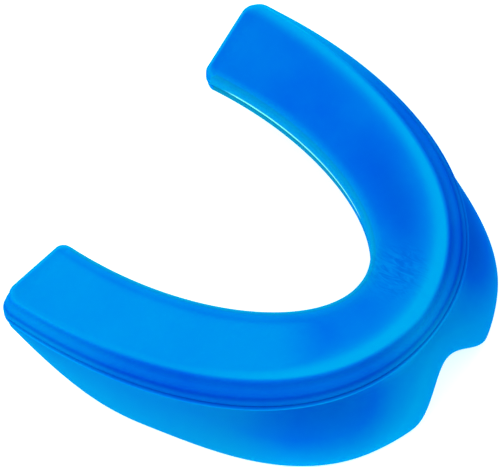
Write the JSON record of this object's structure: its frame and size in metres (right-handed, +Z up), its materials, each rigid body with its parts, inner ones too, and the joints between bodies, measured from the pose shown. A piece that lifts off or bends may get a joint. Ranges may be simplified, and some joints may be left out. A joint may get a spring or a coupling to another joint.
{
  "type": "mouthguard",
  "caption": "Boil-and-bite upper mouthguard: horseshoe bite pad on a tray with a flared gum flange and a soft lining, lying bite face up.",
  "frame": {"origin": "on the resting plane, under the middle of the guard's bounding box", "axes": "+X to the right arm across the arch, +Y from the front teeth to the open back, +Z up, out of the bite face"},
  "size_m": [0.066, 0.0566, 0.0135],
  "materials": {
    "bite_pad": "translucent glossy EVA, smooth with faint flow marks",
    "outer_shell": "translucent glossy EVA",
    "fit_liner": "soft translucent EVA with a satin surface"
  },
  "bodies": {
    "root": {"bite_pad": "bite_pad", "outer_shell": "outer_shell", "fit_liner": "fit_liner"}
  },
  "joints": []
}
